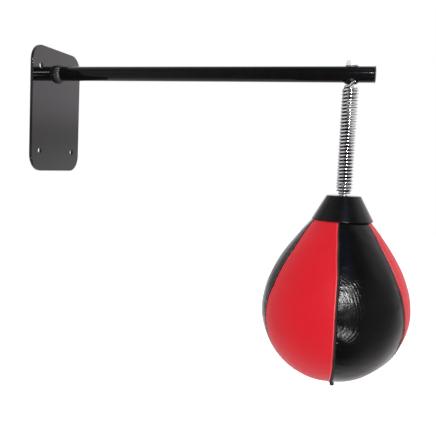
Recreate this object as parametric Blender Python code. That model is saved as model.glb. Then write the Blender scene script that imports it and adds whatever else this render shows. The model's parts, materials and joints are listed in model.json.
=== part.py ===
# Wall-mounted reflex ball bracket: a welded steel plate and arm, a coned coil
# spring, and a six-panel leather ball on a moulded neck cap.
# Frame: origin on the plate's back face, on the arm's centre line.
# +X runs out along the arm, +Z is up. Metres throughout.
import math

import bmesh
import bpy
from mathutils import Vector

# ------------------------------------------------------------------ sizes
GAP = 0.0003                 # clearance kept between neighbouring pieces

PLATE_W = 0.157              # along Y
PLATE_H = 0.2145             # along Z
PLATE_T = 0.005
PLATE_TOP = 0.0408           # height of the plate's top edge over the arm
PLATE_CORNER_R = 0.029
HOLE_R = 0.0055              # wall screw holes
HOLE_SPACING_Y = 0.1066
HOLE_SPACING_Z = 0.1444
PLATE_MID_Z = PLATE_TOP - PLATE_H / 2

TUBE_R = 0.0125              # 25 mm round tube
TUBE_WALL = 0.002
ARM_END = 0.5583             # outer face of the end plug
PLUG_FLANGE = 0.0035

DROP_X = 0.5208              # vertical axis that the spring and ball hang on

BOLT_M10_R = 0.005
HEX_M10 = 0.016              # across flats
BOLT_M8_R = 0.004
HEX_M8 = 0.013

WIRE_R = 0.002               # spring wire
COIL_R = 0.0117              # mean radius
COIL_END_R = 0.0086          # mean radius where the ends are coned in
COIL_PITCH = 0.00535
SPRING_TOP = -0.0195         # wire centre line, top end
SPRING_BOTTOM = -0.1857      # wire centre line, bottom end
SPRING_SPLIT = -0.088        # where the bend across hands over to the bend along
CONE_HEIGHT = 0.0080
BEND_ACROSS_Z = -0.058       # pivot heights of the two bends
BEND_ALONG_Z = -0.118

CAP_TOP = -0.1892
CAP_HEIGHT = 0.0394
CAP_TOP_R = 0.0273
CAP_RIM_R = 0.0481
CAP_WALL = 0.0022
CAP_ROOF = 0.003

BALL_R = 0.117
BALL_MID_Z = -0.373
BALL_LOW = 0.112             # from the widest level down to the pole
BALL_LOW_POWER = 1.9         # a little slacker than an ellipse
BALL_QUARTER_WAVE = 0.194    # the shoulder follows a cosine of this quarter length
PANELS = 6
SEAM_ANGLE = math.radians(-86.0)   # longitude of the front seam
LEATHER = 0.0026
NECK_MOUTH_Z = -0.199
VALVE_R = 0.0036
VALVE_TIP = -0.4992
BLADDER_WALL = 0.001

# ------------------------------------------------------------------ scene
for o in list(bpy.data.objects):
    bpy.data.objects.remove(o, do_unlink=True)
SCENE = bpy.context.scene.collection


def material(name, rgb, rough, metal=0.0):
    m = bpy.data.materials.new(name)
    m.use_nodes = True
    b = m.node_tree.nodes["Principled BSDF"]
    b.inputs["Base Color"].default_value = (*rgb, 1.0)
    b.inputs["Roughness"].default_value = rough
    b.inputs["Metallic"].default_value = metal
    m.diffuse_color = (*rgb, 1.0)
    return m


def empty(name, at, parent=None):
    e = bpy.data.objects.new(name, None)
    e.empty_display_size = 0.02
    e["world"] = list(at)
    base = Vector(parent["world"]) if parent else Vector((0, 0, 0))
    e.location = Vector(at) - base
    e.parent = parent
    SCENE.objects.link(e)
    return e


def finish(bm, name, rgb, rough, metal=0.0, parent=None, at=(0, 0, 0), smooth=True, bevel=0.0):
    """Closes the mesh into an object whose geometry is given in world metres."""
    bmesh.ops.recalc_face_normals(bm, faces=bm.faces)
    bmesh.ops.translate(bm, verts=bm.verts, vec=-Vector(at))
    me = bpy.data.meshes.new(name)
    bm.to_mesh(me)
    bm.free()
    o = bpy.data.objects.new(name, me)
    base = Vector(parent["world"]) if parent else Vector((0, 0, 0))
    o.location = Vector(at) - base
    o.parent = parent
    SCENE.objects.link(o)
    me.materials.append(material(name, rgb, rough, metal))
    if smooth:
        me.shade_smooth()
        me.set_sharp_from_angle(angle=math.radians(40))
    if bevel:
        b = o.modifiers.new("edge", "BEVEL")
        b.width = bevel
        b.segments = 1
        b.limit_method = "ANGLE"
        b.angle_limit = math.radians(50)
    return o


def turned(profile, sides, centre=(0, 0, 0), along="Z", start=0.0):
    """Lathe: profile is a closed loop of (radius, height); radius 0 is the axis."""
    bm = bmesh.new()
    rings = []
    for r, h in profile:
        if r < 1e-9:
            rings.append([bm.verts.new((0, 0, h))])
        else:
            rings.append([bm.verts.new((r * math.cos(start + 2 * math.pi * k / sides),
                                        r * math.sin(start + 2 * math.pi * k / sides), h))
                          for k in range(sides)])
    n = len(rings)
    for i in range(n):
        a, b = rings[i], rings[(i + 1) % n]
        if len(a) == 1 and len(b) == 1:
            continue
        for k in range(sides):
            k2 = (k + 1) % sides
            if len(a) == 1:
                bm.faces.new((a[0], b[k], b[k2]))
            elif len(b) == 1:
                bm.faces.new((a[k], b[0], a[k2]))
            else:
                bm.faces.new((a[k], b[k], b[k2], a[k2]))
    if along == "X":
        for v in bm.verts:
            v.co = Vector((v.co.z, v.co.x, v.co.y))
    bmesh.ops.translate(bm, verts=bm.verts, vec=Vector(centre))
    return bm


def hexagon(flats, z0, z1, chamfer, bore, x=DROP_X, sides=6):
    """Hexagon prism with chamfered corners and, for a nut, a round bore."""
    corner = flats / 2 / math.cos(math.pi / 6)
    bm = bmesh.new()
    loops = []
    for r, z in ((corner * 0.93, z0), (corner, z0 + chamfer), (corner, z1 - chamfer), (corner * 0.93, z1)):
        loops.append([bm.verts.new((x + r * math.cos(math.pi / 3 * k + math.radians(22)),
                                    r * math.sin(math.pi / 3 * k + math.radians(22)), z)) for k in range(6)])
    for a, b in zip(loops, loops[1:]):
        for k in range(6):
            bm.faces.new((a[k], b[k], b[(k + 1) % 6], a[(k + 1) % 6]))
    if bore:
        m = 18
        holes = [[bm.verts.new((x + bore * math.cos(2 * math.pi * k / m + math.radians(22)),
                                bore * math.sin(2 * math.pi * k / m + math.radians(22)), z))
                  for k in range(m)] for z in (z0, z1)]
        for k in range(m):
            bm.faces.new((holes[0][k], holes[1][k], holes[1][(k + 1) % m], holes[0][(k + 1) % m]))
        for outer, inner in ((loops[0], holes[0]), (loops[-1], holes[1])):
            for k in range(6):
                a, b = outer[k], outer[(k + 1) % 6]
                c = [inner[(3 * k + j) % m] for j in range(4)]
                bm.faces.new((a, c[0], c[1]))
                bm.faces.new((a, c[1], c[2], b))
                bm.faces.new((b, c[2], c[3]))
    else:
        bm.faces.new(loops[0])
        bm.faces.new(loops[-1])
    return bm


def bolt(flats, shank_r, head_low, head_high, shank_end, x=DROP_X):
    """Hex-headed bolt as one solid: the shank leaves the head upwards or downwards."""
    up = shank_end > head_high
    corner = flats / 2 / math.cos(math.pi / 6)
    m = 18
    bm = bmesh.new()
    z_seat, z_crown = (head_high, head_low) if up else (head_low, head_high)
    s = 1 if up else -1
    ch = 0.0008

    def hexring(r, z):
        return [bm.verts.new((x + r * math.cos(math.pi / 3 * k), r * math.sin(math.pi / 3 * k), z)) for k in range(6)]

    def ring(r, z):
        return [bm.verts.new((x + r * math.cos(2 * math.pi * k / m), r * math.sin(2 * math.pi * k / m), z))
                for k in range(m)]

    h = [hexring(corner * 0.92, z_crown), hexring(corner * 0.965, z_crown + s * ch), hexring(corner * 0.965, z_seat)]
    for a, b in zip(h, h[1:]):
        for k in range(6):
            bm.faces.new((a[k], b[k], b[(k + 1) % 6], a[(k + 1) % 6]))
    bm.faces.new(h[0])
    c = [ring(shank_r, z_seat), ring(shank_r, shank_end - s * 0.0008), ring(shank_r - 0.0008, shank_end)]
    for k in range(6):
        a, b = h[-1][k], h[-1][(k + 1) % 6]
        q = [c[0][(3 * k + j) % m] for j in range(4)]
        bm.faces.new((a, q[0], q[1]))
        bm.faces.new((a, q[1], q[2], b))
        bm.faces.new((b, q[2], q[3]))
    for a, b in zip(c, c[1:]):
        for k in range(m):
            bm.faces.new((a[k], b[k], b[(k + 1) % m], a[(k + 1) % m]))
    bm.faces.new(c[-1])
    return bm


def washer(r_in, r_out, z0, z1, sides=20, x=DROP_X):
    c = 0.0002
    return turned([(r_in, z0), (r_out - c, z0), (r_out, z0 + c), (r_out, z1 - c), (r_out - c, z1), (r_in, z1)],
                  sides, (x, 0, 0))


def cut(target, tool):
    tool.hide_render = True
    tool.display_type = "WIRE"
    b = target.modifiers.new("cut_" + tool.name, "BOOLEAN")
    b.operation = "DIFFERENCE"
    b.solver = "EXACT"
    b.object = tool


def cutter(name, profile, sides, centre, along="Z", start=0.0):
    bm = turned(profile, sides, centre, along, start)
    bmesh.ops.recalc_face_normals(bm, faces=bm.faces)
    me = bpy.data.meshes.new(name)
    bm.to_mesh(me)
    bm.free()
    o = bpy.data.objects.new(name, me)
    SCENE.objects.link(o)
    return o


def rod(r, a, b):
    return [(0, a), (r, a), (r, b), (0, b)]


# ------------------------------------------------------------------ colours
PAINT = (0.012, 0.012, 0.013)
STEEL = (0.78, 0.79, 0.80)
DARK_PLASTIC = (0.010, 0.010, 0.011)
RED = (0.70, 0.015, 0.028)
BLACK = (0.012, 0.012, 0.014)

# ------------------------------------------------------------------ bracket
# Wall plate: rounded rectangle with four wall screw holes.
bm = bmesh.new()
outline = []
for cy, cz, a0 in ((1, 1, 0), (-1, 1, 90), (-1, -1, 180), (1, -1, 270)):
    yc = cy * (PLATE_W / 2 - PLATE_CORNER_R)
    zc = PLATE_MID_Z + cz * (PLATE_H / 2 - PLATE_CORNER_R)
    for k in range(7):
        t = math.radians(a0 + 15 * k)
        outline.append((yc + PLATE_CORNER_R * math.cos(t), zc + PLATE_CORNER_R * math.sin(t)))
face = bm.faces.new([bm.verts.new((0, y, z)) for y, z in outline])
ext = bmesh.ops.extrude_face_region(bm, geom=[face])
bmesh.ops.translate(bm, verts=[g for g in ext["geom"] if isinstance(g, bmesh.types.BMVert)], vec=(PLATE_T, 0, 0))
plate = finish(bm, "wall_plate", PAINT, 0.28, bevel=0.0006)
k = 0
for sy in (-1, 1):
    for sz in (-1, 1):
        k += 1
        cut(plate, cutter("hole_cutter_%d" % k, rod(HOLE_R, -0.01, 0.02), 20,
                          (0, sy * HOLE_SPACING_Y / 2, PLATE_MID_Z + sz * HOLE_SPACING_Z / 2), "X"))

# Arm: round steel tube, drilled through for the spring bolt.
tube_in = TUBE_R - TUBE_WALL
tube_a, tube_b = PLATE_T + GAP, ARM_END - PLUG_FLANGE - GAP
tube = finish(turned([(tube_in, tube_a), (TUBE_R, tube_a), (TUBE_R, tube_b), (tube_in, tube_b)],
                     32, (0, 0, 0), "X"), "arm_tube", PAINT, 0.16)
cut(tube, cutter("bolt_hole_cutter", rod(BOLT_M10_R + 0.0004, -0.03, 0.03), 20, (DROP_X, 0, 0)))

# Fillet weld round the arm's root, laid in lumps.
bm = bmesh.new()
n, rings = 36, []
for i in range(n):
    t = 2 * math.pi * i / n
    lump = 0.0005 * math.sin(12 * t) + 0.0003 * math.sin(5 * t + 1.0)
    leg = 0.0030 - 0.0014 * math.sin(t)          # the bead is fuller under the arm
    r0, x0 = TUBE_R + GAP, PLATE_T + GAP
    sec = [(r0, x0), (r0 + leg + lump, x0), (r0 + leg * 0.90 + lump, x0 + 0.0030),
           (r0 + leg * 0.62 + lump, x0 + 0.0066 + lump), (r0 + 0.0006, x0 + 0.0092 + lump), (r0, x0 + 0.0092 + lump)]
    rings.append([bm.verts.new((x, r * math.cos(t), r * math.sin(t))) for r, x in sec])
for i in range(n):
    a, b = rings[i], rings[(i + 1) % n]
    for j in range(6):
        bm.faces.new((a[j], b[j], b[(j + 1) % 6], a[(j + 1) % 6]))
finish(bm, "root_weld", PAINT, 0.35)

# Push-in plug that closes the arm's open end.
finish(turned([(0, ARM_END), (0.0098, ARM_END), (0.0125, ARM_END - 0.0010), (0.0129, ARM_END - 0.0022),
               (0.0129, ARM_END - PLUG_FLANGE), (tube_in - GAP, ARM_END - PLUG_FLANGE),
               (tube_in - GAP, ARM_END - 0.0140), (tube_in - 0.0012, ARM_END - 0.0155),
               (0.0080, ARM_END - 0.0155), (0.0080, ARM_END - 0.0050), (0, ARM_END - 0.0050)],
              28, (0, 0, 0), "X"), "arm_end_plug", DARK_PLASTIC, 0.4)

# Saddle under the arm: round block hollowed on top to fit the tube.
saddle = finish(turned([(0.0054, -0.0166), (0.0070, -0.0166), (0.0094, -0.0150), (0.0120, -0.0128), (0.0126, -0.0112),
                        (0.0126, -0.0080), (0.0054, -0.0080)], 28, (DROP_X, 0, 0)),
                "arm_saddle", DARK_PLASTIC, 0.3)
cut(saddle, cutter("saddle_cutter", rod(TUBE_R + GAP, -0.02, 0.02), 32, (DROP_X, 0, 0), "X"))

# Spring bolt: nut and washer on top of the arm, head caught inside the spring.
z = TUBE_R + GAP
finish(washer(BOLT_M10_R + GAP, 0.0102, z, z + 0.0014), "top_washer", STEEL, 0.2, 1.0)
finish(hexagon(HEX_M10, z + 0.0017, z + 0.0083, 0.0012, BOLT_M10_R + 0.0002), "top_nut", STEEL, 0.2, 1.0)
seat_top = SPRING_TOP - CONE_HEIGHT - 0.0011
finish(washer(BOLT_M10_R + GAP, 0.0089, seat_top - 0.0016, seat_top), "upper_spring_seat", STEEL, 0.25, 1.0)
finish(bolt(HEX_M10, BOLT_M10_R, seat_top - 0.0019 - 0.0064, seat_top - 0.0019, z + 0.0080),
       "upper_spring_bolt", STEEL, 0.25, 1.0)

# ------------------------------------------------------------------ joints
j_across = empty("joint_bend_across", (DROP_X, 0, BEND_ACROSS_Z))
j_along = empty("joint_bend_along", (DROP_X, 0, BEND_ALONG_Z), j_across)
j_stretch = empty("joint_stretch", (DROP_X, 0, SPRING_BOTTOM), j_along)
j_swivel = empty("joint_swivel", (DROP_X, 0, CAP_TOP), j_stretch)

# ------------------------------------------------------------------ spring
# One coil of round wire, right-handed, with both ends coned in. It is built in
# two lengths because its upper part carries the bend across the arm and its
# lower part the bend along the arm and the stretch.
def coil_radius(z):
    d = min(SPRING_TOP - z, z - SPRING_BOTTOM)
    return COIL_R if d >= CONE_HEIGHT else COIL_END_R + (COIL_R - COIL_END_R) * d / CONE_HEIGHT


def coil(z_from, z_to, phase_z, per_turn=12, wire_sides=4):
    bm = bmesh.new()
    steps = int(round((z_from - z_to) / COIL_PITCH * per_turn))
    prev = None
    first = None
    for i in range(steps + 1):
        z = z_from + (z_to - z_from) * i / steps
        t = 2 * math.pi * (phase_z - z) / COIL_PITCH
        r = coil_radius(z)
        out = Vector((math.cos(-t), math.sin(-t), 0))
        tangent = Vector((math.sin(-t) * 1.0, -math.cos(-t), -COIL_PITCH / (2 * math.pi * r))).normalized()
        up = tangent.cross(out).normalized()
        c = Vector((DROP_X, 0, z)) + out * r
        ring = [bm.verts.new(c + WIRE_R * (math.cos(2 * math.pi * k / wire_sides) * out
                                           + math.sin(2 * math.pi * k / wire_sides) * up))
                for k in range(wire_sides)]
        if prev:
            for k in range(wire_sides):
                k2 = (k + 1) % wire_sides
                bm.faces.new((prev[k], ring[k], ring[k2], prev[k2]))
        else:
            first = ring
        prev = ring
    bm.faces.new(first)
    bm.faces.new(prev)
    return bm


o = finish(coil(SPRING_TOP, SPRING_SPLIT + GAP, SPRING_TOP), "spring_upper", STEEL, 0.12, 1.0,
           j_across, (DROP_X, 0, BEND_ACROSS_Z))
o = finish(coil(SPRING_SPLIT - GAP, SPRING_BOTTOM, SPRING_TOP), "spring_lower", STEEL, 0.12, 1.0,
           j_along, (DROP_X, 0, BEND_ALONG_Z))

seat_low = SPRING_BOTTOM + CONE_HEIGHT + 0.0014
finish(washer(BOLT_M8_R + GAP, 0.0089, seat_low, seat_low + 0.0016), "lower_spring_seat", STEEL, 0.25, 1.0,
       j_stretch, (DROP_X, 0, SPRING_BOTTOM))

# ------------------------------------------------------------------ neck
hang = (DROP_X, 0, CAP_TOP)
roof_low = CAP_TOP - CAP_ROOF
spacer_low = NECK_MOUTH_Z
disc_low = spacer_low - GAP - 0.0055
wash_low = disc_low - GAP - 0.0015
nut_low = wash_low - GAP - 0.0065
finish(bolt(HEX_M8, BOLT_M8_R, seat_low + 0.0016 + GAP, seat_low + 0.0016 + GAP + 0.0053, nut_low - 0.0010),
       "lower_spring_bolt", STEEL, 0.25, 1.0, j_swivel, hang)
finish(washer(BOLT_M8_R + GAP, 0.0077, CAP_TOP + GAP, CAP_TOP + GAP + 0.0010), "cap_washer", STEEL, 0.2, 1.0,
       j_swivel, hang)

slope = (CAP_RIM_R - CAP_TOP_R) / CAP_HEIGHT
rim = CAP_TOP - CAP_HEIGHT


def cap_outer(z):
    return CAP_TOP_R + slope * (CAP_TOP - z)


finish(turned([(BOLT_M8_R + GAP, CAP_TOP), (CAP_TOP_R - 0.0010, CAP_TOP), (cap_outer(CAP_TOP - 0.0008), CAP_TOP - 0.0008),
               (cap_outer(rim + 0.0012), rim + 0.0012), (CAP_RIM_R - 0.0004, rim + 0.0002), (CAP_RIM_R - 0.0010, rim),
               (CAP_RIM_R - CAP_WALL, rim), (cap_outer(roof_low) - CAP_WALL, roof_low), (BOLT_M8_R + GAP, roof_low)],
              40, (DROP_X, 0, 0)), "neck_cap", DARK_PLASTIC, 0.18, 0.0, j_swivel, hang)
finish(washer(BOLT_M8_R + GAP, 0.0100, spacer_low, roof_low - GAP), "neck_spacer", DARK_PLASTIC, 0.5, 0.0, j_swivel, hang)
finish(washer(BOLT_M8_R + GAP, 0.0152, disc_low, spacer_low - GAP, 24), "neck_disc", (0.35, 0.22, 0.12), 0.6, 0.0,
       j_swivel, hang)
finish(washer(BOLT_M8_R + GAP, 0.0080, wash_low, disc_low - GAP), "neck_washer", STEEL, 0.3, 1.0, j_swivel, hang)
finish(hexagon(HEX_M8, nut_low, wash_low - GAP, 0.0010, BOLT_M8_R + 0.0002), "neck_nut", STEEL, 0.3, 1.0,
       j_swivel, hang)

# ------------------------------------------------------------------ ball
def ball_radius(z):
    d = z - BALL_MID_Z
    if d >= 0:
        return BALL_R * math.cos(math.pi / 2 * d / BALL_QUARTER_WAVE)
    return BALL_R * math.sqrt(max(0.0, 1 - abs(d / BALL_LOW) ** BALL_LOW_POWER))


def ball_profile(count_up, count_low, pole_r):
    """Outer (radius, height) points from the neck mouth to the valve opening."""
    pts = [(ball_radius(z), z) for z in
           (NECK_MOUTH_Z + (BALL_MID_Z - NECK_MOUTH_Z) * k / count_up for k in range(count_up + 1))]
    end = math.acos(pole_r / BALL_R)
    pts += [(BALL_R * math.cos(end * k / count_low),
             BALL_MID_Z - BALL_LOW * math.sin(end * k / count_low) ** (2 / BALL_LOW_POWER))
            for k in range(1, count_low + 1)]
    return pts


def inset(pts, d):
    out = []
    for i, (r, z) in enumerate(pts):
        a, b = pts[max(i - 1, 0)], pts[min(i + 1, len(pts) - 1)]
        t = Vector((b[0] - a[0], b[1] - a[1])).normalized()
        out.append((r + t.y * d, z - t.x * d))
    return out


outer = ball_profile(8, 8, VALVE_R + 0.0008)
inner = inset(outer, LEATHER)
inner[-1] = (VALVE_R + 0.0008, inner[-1][1])
inner[0] = (inner[0][0], NECK_MOUTH_Z)
names = ["panel_front_right_black", "panel_right_red", "panel_back_right_black",
         "panel_back_left_red", "panel_left_black", "panel_front_left_red"]
cols = 4
for p in range(PANELS):
    bm = bmesh.new()
    a0 = SEAM_ANGLE + p * 2 * math.pi / PANELS
    grids = []
    for prof in (outer, inner):
        grid = []
        for r, z in prof:
            trim = (GAP / 2) / max(r, 0.001)          # half of the seam gap at this radius
            lo, hi = a0 + trim, a0 + 2 * math.pi / PANELS - trim
            grid.append([bm.verts.new((DROP_X + r * math.cos(lo + (hi - lo) * c / cols),
                                       r * math.sin(lo + (hi - lo) * c / cols), z)) for c in range(cols + 1)])
        grids.append(grid)
    g0, g1 = grids
    rows = len(outer) - 1
    for i in range(rows):
        for c in range(cols):
            bm.faces.new((g0[i][c], g0[i][c + 1], g0[i + 1][c + 1], g0[i + 1][c]))
            bm.faces.new((g1[i][c], g1[i + 1][c], g1[i + 1][c + 1], g1[i][c + 1]))
        for c in (0, cols):
            bm.faces.new((g0[i][c], g0[i + 1][c], g1[i + 1][c], g1[i][c]))
    for i in (0, rows):
        for c in range(cols):
            bm.faces.new((g0[i][c], g0[i][c + 1], g1[i][c + 1], g1[i][c]))
    red = names[p].endswith("red")
    finish(bm, names[p], RED if red else BLACK, 0.38, 0.0, j_swivel, hang)

# Air bladder: a thin shell just inside the leather, open where the valve sits.
skin = [q for q in inset(ball_profile(8, 8, VALVE_R + 0.0004), LEATHER + 0.0006) if q[1] < nut_low - 0.004]
top_r, top_z = skin[0]
skin = [(0, nut_low - 0.0035), (top_r * 0.6, nut_low - 0.0045)] + skin
skin[-1] = (VALVE_R + 0.0004, skin[-1][1])
core = [(max(r - 0.0, 0), z) for r, z in inset(skin, BLADDER_WALL)]
core[0] = (0, skin[0][1] - BLADDER_WALL)
core[-1] = (VALVE_R + 0.0004, core[-1][1])
finish(turned(skin + core[::-1], 24, (DROP_X, 0, 0), "Z", SEAM_ANGLE), "bladder", (0.02, 0.02, 0.02), 0.7, 0.0, j_swivel, hang)

bladder_floor = core[-1][1]
finish(turned([(0, VALVE_TIP + 0.0090), (0.0009, VALVE_TIP + 0.0090), (0.0009, VALVE_TIP),
               (VALVE_R - 0.0010, VALVE_TIP), (VALVE_R, VALVE_TIP + 0.0010), (VALVE_R, bladder_floor + GAP),
               (0.0075, bladder_floor + GAP + 0.0004), (0.0065, bladder_floor + 0.0022),
               (VALVE_R, bladder_floor + 0.0030), (VALVE_R - 0.0005, bladder_floor + 0.0110),
               (0, bladder_floor + 0.0110)], 20, (DROP_X, 0, 0)),
       "valve", (0.015, 0.015, 0.015), 0.5, 0.0, j_swivel, hang)
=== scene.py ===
import json
import math
import random

import bmesh
import bpy
import numpy as np
from mathutils import Matrix, Vector, noise


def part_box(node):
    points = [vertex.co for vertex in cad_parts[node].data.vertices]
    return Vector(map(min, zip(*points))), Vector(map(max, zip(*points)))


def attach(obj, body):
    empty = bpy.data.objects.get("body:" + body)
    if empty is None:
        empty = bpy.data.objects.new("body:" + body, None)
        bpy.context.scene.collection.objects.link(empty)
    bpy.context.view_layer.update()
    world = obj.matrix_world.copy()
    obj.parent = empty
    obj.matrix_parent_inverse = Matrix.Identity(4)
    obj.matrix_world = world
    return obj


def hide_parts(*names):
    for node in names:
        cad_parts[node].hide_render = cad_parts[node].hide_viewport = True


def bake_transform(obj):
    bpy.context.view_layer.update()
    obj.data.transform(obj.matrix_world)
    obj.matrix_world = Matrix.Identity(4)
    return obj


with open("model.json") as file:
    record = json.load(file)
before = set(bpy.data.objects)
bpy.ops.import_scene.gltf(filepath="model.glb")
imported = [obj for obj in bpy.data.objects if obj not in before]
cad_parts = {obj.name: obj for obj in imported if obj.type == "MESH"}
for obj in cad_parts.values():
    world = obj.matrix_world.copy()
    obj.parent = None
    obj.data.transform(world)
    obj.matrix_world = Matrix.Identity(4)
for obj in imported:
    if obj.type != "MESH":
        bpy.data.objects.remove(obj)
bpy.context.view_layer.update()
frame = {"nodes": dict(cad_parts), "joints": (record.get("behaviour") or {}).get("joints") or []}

ROOT = bpy.context.scene.collection
JOINT = {j["name"]: j for j in frame["joints"]}

# ---------------------------------------------------------------- positions
lo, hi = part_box("spring_upper")
DROP_X = (lo.x + hi.x) / 2
lo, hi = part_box("neck_cap")
DROP_X = (lo.x + hi.x) / 2
CAP_TOP, CAP_RIM = hi.z, lo.z
ARM_R = (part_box("arm_tube")[1].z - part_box("arm_tube")[0].z) / 2
ARM_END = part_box("arm_end_plug")[1].x
PLATE_LO, PLATE_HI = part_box("wall_plate")


# ---------------------------------------------------------------- mesh tools
def add_mesh(name, verts, faces, mats=(), smooth=True, sharp=None):
    me = bpy.data.meshes.new(name)
    me.from_pydata([tuple(v) for v in verts], [], faces)
    me.validate()
    bm = bmesh.new()
    bm.from_mesh(me)
    bmesh.ops.recalc_face_normals(bm, faces=bm.faces)
    bm.to_mesh(me)
    bm.free()
    o = bpy.data.objects.new(name, me)
    ROOT.objects.link(o)
    for m in mats:
        me.materials.append(m)
    if smooth:
        me.shade_smooth()
        if sharp:
            me.set_sharp_from_angle(angle=math.radians(sharp))
    return o


def lathe(name, profile, sides, at=(0, 0, 0), along="Z", closed=True, start=0.0, wobble=None, mats=(), sharp=None):
    """Turned piece. profile is a loop of (radius, height); a radius of 0 is a point on the axis."""
    verts, rings, faces = [], [], []
    for r, h in profile:
        if r < 1e-9:
            rings.append([len(verts)])
            verts.append((0, 0, h))
        else:
            ring = []
            for k in range(sides):
                t = start + 2 * math.pi * k / sides
                rr, hh = (r, h) if wobble is None else wobble(r, h, t)
                ring.append(len(verts))
                verts.append((rr * math.cos(t), rr * math.sin(t), hh))
            rings.append(ring)
    n = len(rings)
    for i in range(n if closed else n - 1):
        a, b = rings[i], rings[(i + 1) % n]
        if len(a) == 1 and len(b) == 1:
            continue
        for k in range(sides):
            k2 = (k + 1) % sides
            if len(a) == 1:
                faces.append((a[0], b[k], b[k2]))
            elif len(b) == 1:
                faces.append((a[k], b[0], a[k2]))
            else:
                faces.append((a[k], b[k], b[k2], a[k2]))
    if along == "X":
        verts = [(z, x, y) for x, y, z in verts]
    verts = [(x + at[0], y + at[1], z + at[2]) for x, y, z in verts]
    return add_mesh(name, verts, faces, mats, True, sharp)


def round_profile(points, radius, steps=3):
    """Rounds the corners of a closed (r, h) loop; points on the axis stay sharp."""
    out = []
    n = len(points)
    for i in range(n):
        p = Vector(points[i])
        if p.x < 1e-9:
            out.append(tuple(p))
            continue
        a, b = Vector(points[i - 1]), Vector(points[(i + 1) % n])
        da, db = (a - p), (b - p)
        w = min(radius, da.length * 0.45, db.length * 0.45)
        pa, pb = p + da.normalized() * w, p + db.normalized() * w
        for k in range(steps + 1):
            t = k / steps
            q = pa * (1 - t) ** 2 + p * 2 * t * (1 - t) + pb * t * t
            out.append((q.x, q.y))
    return out


# ---------------------------------------------------------------- material tools
class Mat:
    """A node material: Principled BSDF with helpers for procedural inputs."""

    def __init__(self, name, rough=0.4, metal=0.0, spec=0.5, coat=0.0, coat_rough=0.1, ior=1.5, sheen=0.0):
        self.m = bpy.data.materials.new(name)
        self.m.use_nodes = True
        self.nt = self.m.node_tree
        self.b = self.nt.nodes["Principled BSDF"]
        self.b.inputs["Roughness"].default_value = rough
        self.b.inputs["Metallic"].default_value = metal
        self.b.inputs["Specular IOR Level"].default_value = spec
        self.b.inputs["Coat Weight"].default_value = coat
        self.b.inputs["Coat Roughness"].default_value = coat_rough
        self.b.inputs["IOR"].default_value = ior
        self.b.inputs["Sheen Weight"].default_value = sheen
        tc = self.nt.nodes.new("ShaderNodeTexCoord")
        self.coord = tc.outputs["Object"]

    def node(self, kind, **props):
        n = self.nt.nodes.new(kind)
        for k, v in props.items():
            setattr(n, k, v)
        return n

    def link(self, a, b):
        self.nt.links.new(a, b)

    def mapped(self, scale=(1, 1, 1), rot=(0, 0, 0), loc=(0, 0, 0)):
        n = self.node("ShaderNodeMapping")
        n.inputs["Scale"].default_value = scale
        n.inputs["Rotation"].default_value = rot
        n.inputs["Location"].default_value = loc
        self.link(self.coord, n.inputs["Vector"])
        return n.outputs["Vector"]

    def noise(self, scale, detail=3.0, rough=0.5, distort=0.0, vector=None):
        n = self.node("ShaderNodeTexNoise")
        n.inputs["Scale"].default_value = scale
        n.inputs["Detail"].default_value = detail
        n.inputs["Roughness"].default_value = rough
        n.inputs["Distortion"].default_value = distort
        self.link(vector or self.coord, n.inputs["Vector"])
        return n.outputs["Fac"]

    def voronoi(self, scale, feature="F1", vector=None, out="Distance", randomness=1.0):
        n = self.node("ShaderNodeTexVoronoi", feature=feature)
        n.inputs["Scale"].default_value = scale
        n.inputs["Randomness"].default_value = randomness
        self.link(vector or self.coord, n.inputs["Vector"])
        return n.outputs[out]

    def ramp(self, fac, stops, smooth=False):
        n = self.node("ShaderNodeValToRGB")
        n.color_ramp.interpolation = "EASE" if smooth else "LINEAR"
        e = n.color_ramp.elements
        while len(e) > 1:
            e.remove(e[-1])
        e[0].position, e[0].color = stops[0][0], self.rgba(stops[0][1])
        for p, c in stops[1:]:
            x = e.new(p)
            x.color = self.rgba(c)
        self.link(fac, n.inputs["Fac"])
        return n.outputs["Color"]

    @staticmethod
    def rgba(c):
        return (c, c, c, 1) if isinstance(c, (int, float)) else (*c, 1)

    def remap(self, fac, a, b, c, d):
        n = self.node("ShaderNodeMapRange")
        for k, v in zip(("From Min", "From Max", "To Min", "To Max"), (a, b, c, d)):
            n.inputs[k].default_value = v
        self.link(fac, n.inputs["Value"])
        return n.outputs["Result"]

    def math(self, op, a, b=None):
        n = self.node("ShaderNodeMath", operation=op)
        for i, v in enumerate((a, b)):
            if v is None:
                continue
            if isinstance(v, (int, float)):
                n.inputs[i].default_value = v
            else:
                self.link(v, n.inputs[i])
        return n.outputs["Value"]

    def mix(self, fac, a, b, blend="MIX"):
        n = self.node("ShaderNodeMix", data_type="RGBA", blend_type=blend)
        for sock, v in ((n.inputs["Factor"], fac), (n.inputs["A"], a), (n.inputs["B"], b)):
            pass
        ins = [s for s in n.inputs if s.type == "RGBA"]
        fi = [s for s in n.inputs if s.type == "VALUE"][0]
        for sock, v in ((fi, fac), (ins[0], a), (ins[1], b)):
            if isinstance(v, (int, float)) and sock.type == "VALUE":
                sock.default_value = v
            elif isinstance(v, tuple):
                sock.default_value = self.rgba(v)
            else:
                self.link(v, sock)
        return [s for s in n.outputs if s.type == "RGBA"][0]

    def bump(self, height, strength, distance, before=None):
        n = self.node("ShaderNodeBump")
        n.inputs["Strength"].default_value = strength
        n.inputs["Distance"].default_value = distance
        self.link(height, n.inputs["Height"])
        if before is not None:
            self.link(before, n.inputs["Normal"])
        return n.outputs["Normal"]

    def colour(self, s):
        self.link(s, self.b.inputs["Base Color"])

    def rough(self, s):
        self.link(s, self.b.inputs["Roughness"])

    def normal(self, s):
        self.link(s, self.b.inputs["Normal"])


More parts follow.
